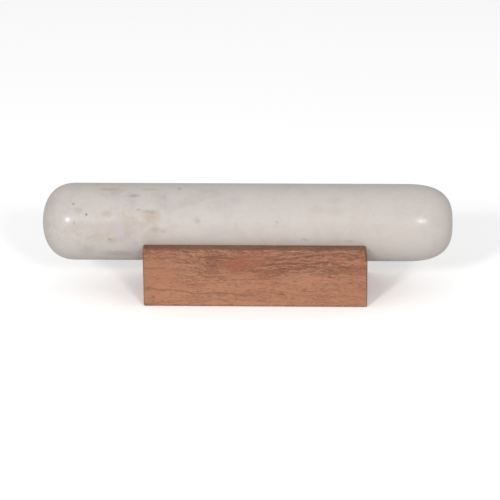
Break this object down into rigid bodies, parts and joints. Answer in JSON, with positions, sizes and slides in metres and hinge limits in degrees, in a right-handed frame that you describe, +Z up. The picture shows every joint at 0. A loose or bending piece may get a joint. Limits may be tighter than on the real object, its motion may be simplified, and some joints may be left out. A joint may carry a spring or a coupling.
{
  "type": "marble rolling pin",
  "caption": "Handleless solid marble roller with softly rounded ends, resting in the round groove of a low wooden cradle block; the roller lifts straight out for use.",
  "frame": {"origin": "on the surface that the cradle stands on, under the middle of the roller's length, which is the middle of the whole part's box", "axes": "+X along the roller towards its longer rounded end, +Y away from the viewer across the cradle, +Z up"},
  "size_m": [0.305, 0.076, 0.0818],
  "materials": {
    "marble": "satin",
    "wood": "matte"
  },
  "bodies": {
    "cradle": {"wood_cradle": "wood"},
    "roller": {"marble_roller": "marble"}
  },
  "joints": [
    {"name": "roller_lift", "type": "slide", "parent": "cradle", "child": "roller", "axis": [0, 0, 1], "range_m": [0, 0.12]}
  ]
}
